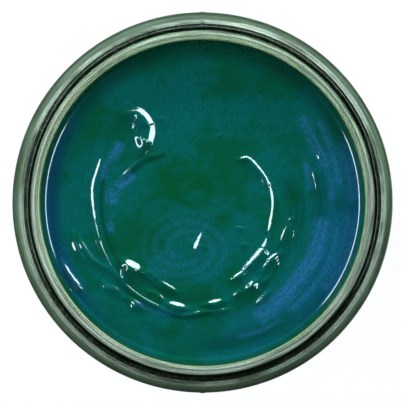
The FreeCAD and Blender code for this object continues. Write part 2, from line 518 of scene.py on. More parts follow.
def neck_glass(s):
    """Glass of the neck and shoulder, with darker drawn lines and painted shade: a dark line on the lip, a
    dark flecked outer edge of the lip, a darker shoulder and a dark edge of the body; and a painted
    yellow-green refraction at the mouth's edge.
    """
    finish, base, roughness = moulded_glass("neck_glass", NECK_CLEARNESS, s.tint, s, *NECK_SMUDGE)
    finish.shader["Specular Tint"].default_value = NECK_SHINE
    fleck, tick, drawn = [finish.mask("radial_flecks", kind) for kind in (FLECKS, TICKS, DRAWN_LINES)]
    light = finish.plus(finish.times(fleck, FLECK_LIGHT), finish.times(tick, TICK_LIGHT))
    edge = finish.stored("edge")
    # painted shade and light: dark lines, the mouth's yellow-green refraction, the dark body edge and the
    # dark outer edge of the lip
    tints = (
        (finish.math("MAXIMUM", finish.times(drawn, LINE_DEPTH), finish.stored("line")), s.lines_and_painted_shade),
        (finish.stored("rim"), s.painted_rim_refraction),
        (finish.stored("outer"), s.painted_outer_shade),
        (finish.times(edge, finish.math("SUBTRACT", 1.0, light, clamp=True)), s.painted_edge_shade),
    )
    for share, tint in tints:
        base = finish.mix(share, base, tint)
    for name, haze in (("lip", LIP_HAZE), ("thread", THREAD_HAZE)):
        roughness = finish.plus(roughness, finish.times(finish.stored(name), haze))
    relief = finish.plus(drawn, finish.times(finish.times(fleck, edge), FLECK_RELIEF))
    return finish.done(base, roughness, relief, *LINE_BUMP)


def paint_material(s):
    """Thick glossy paint: teal with darker green patches, a painted blue sheen at the margin and in
    streaks, and painted shade.
    """
    finish = Finish("glossy_paint", IOR=PAINT_IOR)
    cloud, fine = [finish.mask("cloudy_patches", kind) for kind in (CLOUDS, SPECKLE)]
    middle = finish.times(finish.stored("middle"), MIDDLE_DEPTH)
    green = finish.plus(finish.times(cloud, CLOUD_DEPTH), middle, clamp=True)
    base = finish.mix(green, s.teal, s.deep_green)
    # painted sheen at the margin and in streaks, and painted shade
    for name, tint in (("margin", s.margin), ("shade", s.shade), ("streak", s.sheen)):
        base = finish.mix(finish.stored(name), base, tint)
    base = finish.mix(finish.times(fine, SPECKLE_DEPTH), base, s.deep_green)
    return finish.done(base, finish.span(fine, 0, 1, *PAINT_ROUGHNESS))


def plastic_material(s):
    """Moulded polypropylene: satin, with a fine grain and slight scuffs."""
    finish = Finish("moulded_plastic", IOR=PLASTIC_IOR)
    scuffs = finish.mask("cloudy_patches", SCUFFS)
    worn = [min(1.0, SCUFF_LIFT * c + SCUFF_FLOOR) for c in s.plastic]
    base = finish.mix(finish.times(scuffs, SCUFF_DEPTH), s.plastic, worn)
    roughness = finish.span(scuffs, 0, 1, *PLASTIC_ROUGHNESS)
    return finish.done(base, roughness, finish.noise(*GRAIN), *GRAIN_BUMP)


def foam_material(s, paint):
    """Closed-cell foam of the liner: off-white with fine cells, and paint left by the rim."""
    finish = Finish("liner_foam", IOR=FOAM_IOR)
    cells = finish.add("ShaderNodeTexVoronoi", {"Vector": finish.place, "Scale": FOAM_CELLS})
    stain = finish.stored("stain")
    dull = [c * k for c, k in zip(s.foam, FOAM_DULLING)]
    base = finish.mix(finish.times(finish.mask("cloudy_patches", FOAM_WEAR), FOAM_WEAR_DEPTH), s.foam, dull)
    base = finish.mix(stain, base, paint.teal)
    roughness = finish.span(stain, 0, 1, *FOAM_ROUGHNESS)
    return finish.done(base, roughness, cells.outputs["Distance"], *CELL_BUMP)


# --- glass ---
SEAMS = (math.pi / 2, 3 * math.pi / 2)  # ways round the jar of its two mould seams
SEAM_SPREAD = 0.03  # angle round a seam that has more points
SEAM_POINTS = 9
GLASS_AROUND = 288
ROCK_AROUND, ROCK_UP, ROCK_SEED = 4, 90, 11  # slow waves of the moulded glass
LINE_IN, LINE_WIDTH, LINE_FULL = 1.0 * MM, 0.18 * MM, 0.8  # painted shade: dark line on the lip between its two highlights, from the mouth
NECK_FROM = (0, 1.2 * MM)  # over the ledge: the neck's thread
UPRIGHT = (-1.2 * MM, 0)  # from the plain neck: walls that seams and waves show on
OFF_FOOT = (2 * MM, 8 * MM)
LIP_DEPTHS = (1.5, 0.9)  # the lip's zone starts and is full so many lip radii under the rim
CREST = (-0.15 * MM, 0.15 * MM)  # from the lip's crest: the painted shade of its outer edge
# painted light: yellow-green refraction at the mouth's edge
RIM_FROM_MOUTH = (0.1 * MM, 0.4 * MM)
SHOULDER_END, SHOULDER_RISE = (0.6 * MM, 1.4 * MM), (-8 * MM, -3 * MM)  # over the ledge: the shoulder, hazier and with painted shade
THREAD_OUT, THREAD_RISE = (0.3 * MM, 0.8 * MM), (0.8 * MM, 1.6 * MM)  # from the neck, over the ledge
OUTER_OUT, OUTER_RISE = (-1.1 * MM, -0.1 * MM), (-8 * MM, -4 * MM)  # from the body, over the ledge: painted shade where the body is seen edge-on from above


def seam_angles():
    """Angles round the jar, evenly spaced, with more of them close to each mould seam."""
    extra = [seam + np.linspace(-SEAM_SPREAD, SEAM_SPREAD, SEAM_POINTS) for seam in SEAMS]
    return np.unique(np.round(np.concatenate([round_angles(GLASS_AROUND), *extra]) % math.tau, 6))


def inner_wall(s, clearance=0.0, steps=12):
    """Half section of the jar's inside from the end of its bore down to the base, a clearance in."""
    mouth = s.mouth_radius - clearance
    cavity = s.cavity_radius - clearance
    floor = s.base + clearance
    bore_end = s.height - s.bore_length
    widen = cavity - mouth
    curve = (widen**2 + s.inner_drop**2) / (4 * widen)
    sweep = math.degrees(math.asin(s.inner_drop / 2 / curve))
    return [
        *arc(mouth + curve, bore_end, curve, 180, 180 + sweep, steps),
        *arc(cavity - curve, bore_end - s.inner_drop, curve, sweep, 0, steps)[1:],
        *run((cavity, bore_end - s.inner_drop), (cavity, floor + s.inner_heel), steps)[1:],
        *arc(cavity - s.inner_heel, floor + s.inner_heel, s.inner_heel, 0, -90, steps),
        *run((cavity - s.inner_heel, floor), (0, floor), steps)[1:],
    ]


def shoulder_start(s):
    """Height of the ledge that the neck stands on, and radius of the rounding outside it."""
    return s.height - s.finish_height, s.body_radius - s.neck_radius - s.neck_root


def glass_profile(s):
    """Half sections of the jar's outside, up from the middle of its underside, and of its inside."""
    foot_out = s.body_radius - s.heel
    foot_in = foot_out - s.foot_width
    dome = (foot_in**2 + s.push_up**2) / (2 * s.push_up)
    spread = math.degrees(math.asin(foot_in / dome))
    ledge, shoulder = shoulder_start(s)
    lip_z = s.height - s.lip_radius
    bore_end = s.height - s.bore_length
    outside = [
        *arc(0, s.push_up - dome, dome, 90, 90 - spread, 24)[1:],
        *run((foot_in, 0), (foot_out, 0), 6)[1:],
        *arc(foot_out, s.heel, s.heel, 270, 360, 14),
        *run((s.body_radius, s.heel), (s.body_radius, ledge - shoulder), 20)[1:],
        *arc(s.body_radius - shoulder, ledge - shoulder, shoulder, 0, 90, 16),
        *arc(s.neck_radius + s.neck_root, ledge + s.neck_root, s.neck_root, 270, 180, 8)[1:],
        *run((s.neck_radius, ledge + s.neck_root), (s.neck_radius, lip_z), 58)[1:],
        *arc(s.neck_radius - s.lip_radius, lip_z, s.lip_radius, 0, 90, 20),
        *arc(s.mouth_radius + s.lip_radius, lip_z, s.lip_radius, 90, 180, 20),
    ]
    inside = [*run((s.mouth_radius, lip_z), (s.mouth_radius, bore_end), 16)[1:], *inner_wall(s)]
    return outside, inside


class PAINTJAR_OT_glass(bpy.types.Operator):
    """Make the moulded glass jar with its thread, lip and mould seams"""

    bl_idname = "paint_jar.glass"
    bl_label = "Glass"

    def execute(self, context):
        s = context.scene.paint_jar_glass
        angles = seam_angles()
        outside, inside = glass_profile(s)
        rings = spin(outside + inside, angles)
        outer = rings[: len(outside)]
        heights = outer[..., 2]
        ledge, shoulder = shoulder_start(s)
        neck = fade(heights, ledge, NECK_FROM)
        low = s.height - s.thread_start - s.thread_pitch * s.thread_turns
        thread = thread_height(angles[None, :], heights, low, s)
        radius = np.linalg.norm(outer[..., :2], axis=-1)
        upright = fade(radius, s.neck_radius, UPRIGHT)
        off_foot = smooth(heights, *OFF_FOOT)
        seam = np.zeros_like(heights)
        for place in SEAMS:
            across = (angles - place) * s.neck_radius
            seam = np.maximum(seam, bell(across, s.seam_width)[None, :] * upright)
        around_x, around_y = np.cos(angles) * ROCK_AROUND, np.sin(angles) * ROCK_AROUND
        rock = waves(around_x + heights * ROCK_UP, around_y, ROCK_SEED) * s.waviness
        push_out(outer, thread * s.thread_depth * neck * upright)
        push_out(outer, (seam * s.seam_height + (rock - s.waviness) * upright) * off_foot)
        piece = shell("jar_glass_shell", (0, 0, s.push_up), rings, (0, 0, s.base))
        self.mark_zones(piece.data, s, ledge)
        put(piece, "jar", "glass", neck_glass(s), "jar_glass")
        piece.data.materials.append(body_glass(s))
        body = fetch(piece.data.polygons, "center")[:, 2] < ledge - shoulder
        piece.data.polygons.foreach_set("material_index", body.astype(np.int32))
        return {"FINISHED"}

    def mark_zones(self, mesh, s, ledge):
        """Stores where the lip, its lines and the painted shade of its outer edge, the thread, the
        shoulder, the mouth's painted edge and the body's painted dark edge are.
        """
        x, y, z = fetch(mesh.vertices, "co").T
        radius = np.hypot(x, y)
        top = smooth(z, *(s.height - depth * s.lip_radius for depth in LIP_DEPTHS))
        past_crest = fade(radius, (s.mouth_radius + s.neck_radius) / 2, CREST)
        shoulder = (1 - fade(z, ledge, SHOULDER_END)) * fade(z, ledge, SHOULDER_RISE)
        thread = fade(radius, s.neck_radius, THREAD_OUT) * fade(z, ledge, THREAD_RISE)
        outer = fade(radius, s.body_radius, OUTER_OUT) * fade(z, ledge, OUTER_RISE)
        line = LINE_FULL * bell(radius - s.mouth_radius - LINE_IN, LINE_WIDTH) * top
        rim = (1 - fade(radius, s.mouth_radius, RIM_FROM_MOUTH)) * top
        store(mesh, edge=top * past_crest, lip=top * (1 - past_crest), line=line, rim=rim)
        store(mesh, thread=thread, shoulder=shoulder * (radius > s.cavity_radius), outer=outer)


# --- paint ---
HIGH_LAMPS = ((172.6, 31.0), (-4.6, 23.0))  # way to each softbox and half its width, in degrees
HIGH_PLACE = (0.622, 0.529)  # the softboxes' distance from the axis, and their height over the paint
LOW_PLACE = (0.90, 0.219)  # the same of the strips
CAMERA_OVER_PAINT = 0.905
LAMP_EDGE = 2  # degrees over which the slope changes at a softbox's end
FLANK = np.linspace(0, 1, 101)
FLANK_RISE = band(FLANK, 0, 0.15, 0.85, 1)
FLANK_HEIGHT = 1 - np.cumsum(FLANK_RISE) / FLANK_RISE.sum()
FLANK_SHARE = FLANK_RISE.mean()  # height of a flank over its width times its slope
CURVE_STEPS = 16
RUN_ON = 1.2  # each line runs on past its ends by the fading length over this, twice
BEAT, BEAT_LENGTH = 0.12, 0.9 * MM  # uneven width of a ridge, and how fast it changes along it
TIP_WIDTH, TIP_LENGTH = 0.72, 1.6 * MM  # ridges narrow to this share at their tips, over this length
TIP_START = 0.8
ENDS_OVER_WIDTH = 2.6  # a ridge fades over at least so many times its width
SOFT_OVER_CREST, SOFT_LEAST = 1.4, 1.0 * MM  # width of a ridge's soft side
HAIR_WIDTH, HAIR_LENGTH = 0.22 * MM, 5 * MM
HAIR_FLOOR, HAIRS = 0.55, (-0.3, 0.4)  # marks are this strong between hairs, and where a hair fades
GRID_OVER_BODY = 0.987  # lines are placed by shares of this much of the body's radius
SWELL, SWELL_SCALE, SWELL_SEED = 0.05 * MM, 3, 5  # slow rise and fall of the paint
CALM = (1.0, 0.85)  # shares of the mouth between which it dies out
RIDGE_SEED, SHADE_SEED, STREAK_SEED, TONE_SEED = 40, 200, 300, 29
PAINT_AROUND = 480
RING_BANDS = ((0.2, 16), (0.71, 100), (0.95, 38), (1.0, 22))  # outer end and rings of each band
MENISCUS_STEPS = 200
SIDE_TOP = 0.5 * MM  # the side starts so far under the level
SURFACE_DEPTH = 0.4 * MM  # what lies deeper under the level has no tones
# rings of painted sheen and painted shade: where each starts, is full, fades and ends, as shares of the
# mouth's radius
MARGIN_RING, FIELD_RING = (0.85, 0.93, 0.965, 0.985), (0.62, 0.80, 0.965, 0.985)
LOW_RING, BACK_SHADE, WALL_SHADE = (0.78, 0.87, 0.90, 0.94), (0.83, 0.95), (0.96, 0.98)
# the way that each faces with half its width in degrees, and the shares of that where it fades
LEFT, RIGHT, FIELD_WAY = (185, 42), (-15, 36), (-28, 52)
BACK_WAY, WALL_WAY, LOW_WAY = (85, 52), (110, 75), (287, 24)
WAY_FADE = (0.4, 1.3)
# and how strong each is
FIELD_FULL, BACK_FULL, WALL_FULL, LOW_FULL, SWIRL_FULL = 0.75, 0.85, 0.9, 0.6, 0.3
MARGIN_FLOOR, WALL_FLOOR, UNEVEN_FLOOR = 0.12, 0.6, 0.75
UNEVEN_SCALE = 9
SWIRL_X, SWIRL_Y, SWIRL_SQUASH = -0.10, -0.24, 1.3  # painted sheen in fine rings round the stirring's swirl
SWIRL_RINGS, SWIRL_REACH = 95, (0.03, 0.08, 0.16, 0.30)
MIDDLE_X, MIDDLE_Y, MIDDLE_REACH = -0.12, 0.02, (0.12, 0.42)


def off_way(turn, centre):
    """Degrees between two ways round the jar."""
    return np.abs((turn - centre + 180) % 360 - 180)


def glossy_slope(x, y, facing_x, facing_y):
    """Rise of a flank on which a lamp glints from above: a softbox at left and right, or else a strip."""
    out = x * facing_x + y * facing_y
    turn = np.degrees(np.arctan2(facing_y, facing_x))
    high = np.zeros(len(turn))
    for centre, half in HIGH_LAMPS:
        high = np.maximum(high, 1 - smooth(off_way(turn, centre), half - LAMP_EDGE, half))
    rise = []
    for away, up in (HIGH_PLACE, LOW_PLACE):
        tilt = math.pi / 2 - np.arctan2(up, away - out) - out / CAMERA_OVER_PAINT
        rise.append(np.tan(tilt / 2))
    return rise[1] + (rise[0] - rise[1]) * high


class Trail:
    """A smooth line on the paint through given points, as shares of the body's radius."""

    def __init__(self, points, width, strength=1.0, ends=2.0):
        self.points = np.array(points)
        self.width = width * MM
        self.strength = strength
        self.ends = ends * MM

    def line(self, scale):
        """Points of the smooth line, and its direction at each."""
        p = self.points * scale
        first, last = p[0] - p[1], p[-1] - p[-2]
        first *= self.ends / np.linalg.norm(first) / RUN_ON
        last *= self.ends / np.linalg.norm(last) / RUN_ON
        p = np.concatenate([[p[0] + 2 * first, p[0] + first], p, [p[-1] + last, p[-1] + 2 * last]])
        t = np.linspace(0, 1, CURVE_STEPS, endpoint=False)[:, None]
        found = []
        for a, b, c, d in zip(p, p[1:], p[2:], p[3:]):
            curve = 2 * b + (c - a) * t + (2 * a - 5 * b + 4 * c - d) * t**2
            found.append(0.5 * (curve + (3 * b - a - 3 * c + d) * t**3))
        found = np.concatenate([*found, p[-2:-1]])
        ahead = np.gradient(found, axis=0)
        return found, ahead / np.linalg.norm(ahead, axis=1, keepdims=True)

    def beside(self, x, y, scale, reach):
        """Points near the line: which, how far along and to its left, its direction, and 0 to 1 at ends."""
        line, ahead = self.line(scale)
        low, high = line.min(0) - reach, line.max(0) + reach
        near = (x > low[0]) & (x < high[0]) & (y > low[1]) & (y < high[1])
        px, py = x[near], y[near]
        which = ((px[:, None] - line[:, 0]) ** 2 + (py[:, None] - line[:, 1]) ** 2).argmin(1)
        way = ahead[which]
        dx, dy = px - line[which, 0], py - line[which, 1]
        lengths = np.concatenate([[0], np.cumsum(np.linalg.norm(np.diff(line, axis=0), axis=1))])
        along = lengths[which] + dx * way[:, 0] + dy * way[:, 1]
        aside = way[:, 0] * dy - way[:, 1] * dx
        full = band(along, 0, self.ends, lengths[-1] - self.ends, lengths[-1])
        return near, np.clip(along, 0, lengths[-1]), aside, way, full


class Ridge(Trail):
    """A ridge in the paint with an even steep flank on its left and a soft one on its right."""

    def __init__(self, points, width, strength=1.0, ends=0.0):
        super().__init__(points, width, strength, max(ends, ENDS_OVER_WIDTH * width))

    def rise(self, x, y, scale, seed):
        """Height of the ridge over the paint at each place."""
        height = np.zeros(x.shape)
        near, along, aside, way, full = self.beside(x, y, scale, 4 * self.width + 2 * MM)
        slope = glossy_slope(x[near], y[near], -way[:, 1], way[:, 0])
        beat = 1 + BEAT * waves(along / BEAT_LENGTH, along * 0, seed, 2)
        tip = np.minimum(along, along.max(initial=0) - along) - TIP_START * self.ends
        width = self.width * beat * (TIP_WIDTH + (1 - TIP_WIDTH) * smooth(tip, 0, TIP_LENGTH))
        crest = self.strength * width * FLANK_SHARE * slope * full
        from_crest = aside + width / 2
        flank = np.interp(from_crest / width, FLANK, FLANK_HEIGHT, right=0.0)
        soft = bell(from_crest, np.maximum(SOFT_OVER_CREST * width * FLANK_SHARE, SOFT_LEAST))
        height[near] = crest * np.where(from_crest > 0, flank, soft)
        return height


RIDGES = [Ridge(*row) for row in (
    # outer ring of the swirl, left and bottom
    ([(-0.536, 0.23), (-0.575, 0.105), (-0.579, 0.02), (-0.565, -0.09)], 1.0),
    ([(-0.565, -0.09), (-0.539, -0.197), (-0.493, -0.302), (-0.434, -0.388), (-0.355, -0.467),
      (-0.243, -0.533), (-0.112, -0.579), (0.02, -0.565), (0.13, -0.555)], 0.69, 1.0, 2.0),
    # inner ring, right
    ([(0.197, 0.235), (0.241, 0.238), (0.294, 0.188), (0.346, 0.109), (0.368, 0.004),
      (0.355, -0.101), (0.345, -0.15)], 1.0),
    ([(0.225, -0.335), (0.28, -0.275), (0.322, -0.222), (0.336, -0.185)], 1.19),
    ([(0.16, -0.392), (0.222, -0.35)], 1.0),
    # curl at the upper left: outer crescent, inner branch
    ([(-0.398, 0.488), (-0.342, 0.492), (-0.292, 0.455), (-0.263, 0.4), (-0.27, 0.335),
      (-0.298, 0.28)], 2.0),
    ([(-0.34, 0.262), (-0.342, 0.32), (-0.35, 0.381), (-0.372, 0.45)], 1.2),
    # fold below the curl
    ([(-0.421, 0.145), (-0.36, 0.205), (-0.3, 0.25), (-0.237, 0.255)], 0.56, 0.9, 2.0),
    # pulled strings at the lower left
    ([(-0.723, -0.322), (-0.69, -0.375), (-0.641, -0.437)], 1.06),
    ([(-0.674, -0.158), (-0.648, -0.237), (-0.611, -0.296)], 0.75, 1.0, 2.0),
    ([(-0.651, -0.168), (-0.585, -0.276), (-0.526, -0.32), (-0.493, -0.332), (-0.457, -0.365)], 0.81),
    ([(-0.398, -0.305), (-0.332, -0.342)], 2.12),
    ([(-0.381, -0.352), (-0.335, -0.418)], 0.62),
    ([(-0.291, -0.357), (-0.276, -0.36)], 0.81),
    ([(-0.253, -0.38), (-0.24, -0.384)], 0.69),
    ([(-0.214, -0.411), (-0.138, -0.457)], 0.81),
    ([(-0.278, -0.46), (-0.24, -0.47)], 0.75),
    ([(-0.234, -0.473), (-0.2, -0.506)], 0.81),
    ([(-0.171, -0.523), (-0.092, -0.542)], 1.44),
    ([(-0.51, -0.415), (-0.489, -0.44), (-0.47, -0.434), (-0.424, -0.467)], 0.81),
    ([(-0.426, -0.48), (-0.396, -0.493)], 0.69),
    ([(-0.361, -0.505), (-0.322, -0.531)], 1.25),
    ([(-0.214, -0.542), (-0.158, -0.566)], 0.69),
    # drops at the bottom of the swirl
    ([(0.028, -0.524), (0.096, -0.509)], 1.25),
    ([(0.0, -0.562), (0.06, -0.56)], 0.62),
    # slanted nick in the middle
    ([(-0.041, -0.236), (-0.026, -0.2)], 1.56),
    ([(-0.036, -0.222), (-0.003, -0.148)], 0.94),
    # folds at the lower right
    ([(0.41, -0.2), (0.425, -0.155), (0.445, -0.115)], 0.81),
    ([(0.472, -0.11), (0.48, -0.15), (0.47, -0.2)], 0.56),
    ([(0.458, -0.086), (0.466, -0.078)], 0.62),
    ([(0.316, -0.34), (0.345, -0.295), (0.392, -0.264)], 1.06),
    ([(0.405, -0.275), (0.405, -0.31), (0.385, -0.345)], 0.5),
    ([(0.244, -0.43), (0.262, -0.414)], 1.38),
    ([(0.312, -0.41), (0.33, -0.395)], 0.69),
    ([(0.168, -0.48), (0.19, -0.46)], 0.75),
    ([(0.285, -0.522), (0.346, -0.456)], 0.62),
    # combed marks on the right
    ([(0.572, 0.171), (0.59, 0.11), (0.598, 0.057)], 0.56),
    ([(0.57, 0.32), (0.614, 0.224)], 0.53),
    ([(0.566, -0.372), (0.631, -0.267)], 0.53),
    # pinpricks of burst bubbles
    ([(-0.22, 0.449), (-0.212, 0.449)], 0.69),
    ([(0.426, 0.212), (0.43, 0.22)], 0.62),
    ([(0.188, -0.125), (0.206, -0.127)], 0.62),
    ([(0.214, -0.212), (0.23, -0.213)], 0.62),
    ([(0.086, 0.358), (0.094, 0.362)], 0.56),
    ([(-0.623, 0.064), (-0.619, 0.072)], 0.56),
)]


# painted sheen: blue reflection laid into the colour as brush marks
SHEEN_STREAKS = [Trail(*row) for row in (
    # combed marks at the right, upper half
    ([(0.525, 0.44), (0.57, 0.35), (0.61, 0.27), (0.645, 0.2)], 3.0, 0.75),
    ([(0.62, 0.42), (0.67, 0.3), (0.7, 0.2), (0.715, 0.1)], 2.2, 0.6),
    ([(0.73, 0.3), (0.775, 0.16), (0.795, 0.02)], 2.6, 0.85),
    ([(0.54, 0.2), (0.555, 0.14), (0.56, 0.08)], 1.7, 0.6),
    ([(0.655, 0.16), (0.675, 0.08), (0.68, 0.02)], 1.6, 0.5),
    # and lower half
    ([(0.635, -0.1), (0.61, -0.2), (0.56, -0.31), (0.49, -0.42), (0.4, -0.52), (0.3, -0.6)], 3.8),
    ([(0.7, -0.14), (0.69, -0.25), (0.64, -0.36), (0.57, -0.46), (0.47, -0.56)], 1.5, 0.6),
    ([(0.785, -0.08), (0.765, -0.2), (0.72, -0.33), (0.65, -0.45)], 3.0, 0.9),
    ([(0.4, -0.62), (0.31, -0.67), (0.2, -0.7)], 1.2, 0.4),
    # patches beside the ring at the left
    ([(-0.43, 0.31), (-0.455, 0.27), (-0.475, 0.235)], 2.4, 1.0, 1.0),
    ([(-0.475, 0.245), (-0.505, 0.195), (-0.52, 0.13)], 1.6, 0.8, 1.0),
    ([(-0.37, 0.145), (-0.4, 0.12), (-0.445, 0.085)], 2.2, 1.0, 1.0),
    ([(-0.465, 0.06), (-0.475, 0.03), (-0.48, 0.0)], 2.8, 0.9, 1.0),
    ([(-0.49, -0.11), (-0.48, -0.15)], 1.8, 0.6, 1.0),
    ([(-0.35, -0.53), (-0.28, -0.555), (-0.18, -0.59)], 1.6, 0.5),
)]

# painted shade: darker green beside folds and grooves
SHADES = [Trail(*row) for row in (
    ([(-0.495, 0.2), (-0.53, 0.08), (-0.53, -0.05), (-0.505, -0.16), (-0.465, -0.26), (-0.4, -0.36)],
     1.8, 0.7),
    ([(-0.41, 0.118), (-0.34, 0.185), (-0.27, 0.228), (-0.2, 0.248)], 1.3, 1.0, 1.0),
    ([(-0.44, -0.41), (-0.36, -0.49), (-0.25, -0.555), (-0.12, -0.6), (0.02, -0.585)], 1.0, 0.8),
    ([(-0.33, -0.37), (-0.27, -0.42), (-0.2, -0.47), (-0.1, -0.51), (0.02, -0.5)], 2.2, 0.5),
    ([(0.44, 0.12), (0.5, 0.0), (0.5, -0.1), (0.46, -0.22)], 4.5, 0.55),
    ([(0.6, 0.14), (0.62, 0.0), (0.6, -0.08)], 3.5, 0.5),
    ([(0.44, -0.23), (0.38, -0.35), (0.3, -0.45), (0.18, -0.53)], 3.4, 0.55),
    ([(0.7, 0.02), (0.73, -0.03)], 4.0, 0.5),
    ([(0.395, 0.0), (0.385, -0.1), (0.36, -0.2)], 0.8, 0.6, 1.0),
    ([(0.66, -0.6), (0.7, -0.52)], 3.0, 0.4),
    ([(0.05, -0.7), (-0.15, -0.7), (-0.32, -0.64)], 4.0, 0.35),
)]


def brushed(trails, x, y, scale, seed):
    """0 to 1 where the trails lie, broken into hairlines along them like brush marks, for painted sheen and
    painted shade.
    """
    found = np.zeros(x.shape)
    for place, trail in enumerate(trails):
        near, along, aside, _, full = trail.beside(x, y, scale, trail.width)
        edge = np.exp(-(np.abs(2 * aside / trail.width) ** 3))
        hairs = waves(aside / HAIR_WIDTH, along / HAIR_LENGTH, seed + place, 2)
        mark = trail.strength * edge * full * (HAIR_FLOOR + (1 - HAIR_FLOOR) * smooth(hairs, *HAIRS))
        found[near] = np.maximum(found[near], mark)
    return found


def climb(s, from_wall):
    """How far the meniscus stands over the level, at a distance from the wall."""
    table = np.linspace(0, s.meniscus_start, MENISCUS_STEPS)
    slope = s.meniscus_slope * (1 - smooth(table, s.meniscus_full, s.meniscus_start))
    rise = np.cumsum(slope[::-1])[::-1] * (table[1] - table[0])
    return np.interp(from_wall, table, rise, right=0.0)


def paint_height(s, mouth, x, y, scale):
    """Height of the paint over its level."""
    radius = np.hypot(x, y)
    calm = smooth(radius / mouth, *CALM)
    slow = SWELL * waves(x / scale * SWELL_SCALE, y / scale * SWELL_SCALE, SWELL_SEED, 2) * calm
    raised = np.zeros(radius.shape)
    for place, ridge in enumerate(RIDGES):
        raised = np.maximum(raised, ridge.rise(x, y, scale, RIDGE_SEED + place))
    return (climb(s, mouth - radius) + slow + raised) * s.relief


class PAINTJAR_OT_paint(bpy.types.Operator):
    """Make the paint with its ridges, lumps and meniscus"""

    bl_idname = "paint_jar.paint"
    bl_label = "Paint"

    def execute(self, context):
        s = context.scene.paint_jar_paint
        glass = context.scene.paint_jar_glass
        mouth = glass.mouth_radius - s.gap
        bore_end = glass.height - glass.bore_length
        angles = round_angles(PAINT_AROUND)
        radii, start = [], 0
        for end, count in RING_BANDS:
            radii.extend(mouth * np.linspace(start, end, count + 1)[1:])
            start = end
        surface = spin([(r, 0) for r in radii], angles)
        scale = glass.body_radius * GRID_OVER_BODY
        surface[..., 2] = s.level + paint_height(s, mouth, surface[..., 0], surface[..., 1], scale)
        side = [*run((mouth, s.level - SIDE_TOP), (mouth, bore_end), 4), *inner_wall(glass, s.gap, 4)[:-1]]
        rings = np.concatenate([surface, spin(side, angles)])
        middle = paint_height(s, mouth, np.zeros(1), np.zeros(1), scale)[0]
        piece = shell("paint_body", (0, 0, s.level + middle), rings, (0, 0, glass.base + s.gap))
        self.tone(piece.data, mouth, s.level, scale)
        put(piece, "jar", "paint", paint_material(s), "paint_fill")
        return {"FINISHED"}

    def tone(self, mesh, mouth, level, scale):
        """Stores the painted blue sheen of the margin and the streaks, the painted shade and the greener
        middle of the surface.
        """
        wide, deep, z = fetch(mesh.vertices, "co").T
        x, y = wide / scale, deep / scale
        radius, turn = np.hypot(wide, deep) / mouth, np.degrees(np.arctan2(y, x))
        top = z > level - SURFACE_DEPTH

        def toward(centre, half):
            return 1 - smooth(off_way(turn, centre), *(share * half for share in WAY_FADE))

        uneven = UNEVEN_FLOOR + (1 - UNEVEN_FLOOR) * waves(x * UNEVEN_SCALE, y * UNEVEN_SCALE, TONE_SEED)
        # painted sheen: a blue margin towards the softboxes at left and right, and a blue field at the
        # right
        ring = band(radius, *MARGIN_RING)
        sides = np.maximum(toward(*LEFT), toward(*RIGHT))
        margin = ring * (MARGIN_FLOOR + (1 - MARGIN_FLOOR) * sides) * uneven
        field = band(radius, *FIELD_RING) * toward(*FIELD_WAY)
        margin = np.maximum(margin, FIELD_FULL * field * uneven)
        # painted shade: darker towards the back, at the glass, low at the front and beside folds
        shades = (
            BACK_FULL * smooth(radius, *BACK_SHADE) * toward(*BACK_WAY),
            WALL_FULL * smooth(radius, *WALL_SHADE) * (WALL_FLOOR + (1 - WALL_FLOOR) * toward(*WALL_WAY)),
            LOW_FULL * band(radius, *LOW_RING) * toward(*LOW_WAY),
            brushed(SHADES, wide, deep, scale, SHADE_SEED) * top,
        )
        # painted sheen in fine rings round the swirl
        swirl_x, swirl_y = x - SWIRL_X, y - SWIRL_Y
        reach = np.hypot(swirl_x, swirl_y * SWIRL_SQUASH)
        rings = 0.5 + 0.5 * np.sin(reach * SWIRL_RINGS + 2 * np.arctan2(swirl_y, swirl_x))
        rings *= band(reach, *SWIRL_REACH) * uneven
        streak = np.maximum(brushed(SHEEN_STREAKS, wide, deep, scale, STREAK_SEED), SWIRL_FULL * rings)
        middle = 1 - smooth(np.hypot(x - MIDDLE_X, y - MIDDLE_Y), *MIDDLE_REACH)
        shade = np.maximum.reduce(shades)
        store(mesh, margin=margin * top, streak=streak * top, shade=shade * top, middle=middle * top)


# --- lid ---
LID_AROUND, LINER_AROUND = 320, 240
SMALL_EDGE = 0.3 * MM  # slopes beside the recess and the ribbed band
ON_WALL = 1e-6
RIB_SIDES = 12
RIB_SHARE = 0.72  # width of a rib over its share of the skirt
LID_SHARP, RIB_SHARP = 50, 40  # degrees past which an edge stays sharp
LINER_EDGE = 0.25 * MM
DENT_WIDTH = 0.8 * MM
DENT_AROUND, DENT_SEED, DENT_UNEVEN = 3, 17, 0.25
STAIN_IN, STAIN_WIDTH = 0.9 * MM, 1.1 * MM
STAIN_SCALE, STAIN_SEED, STAIN_PATCHES = 160, 61, (0.0, 0.35)


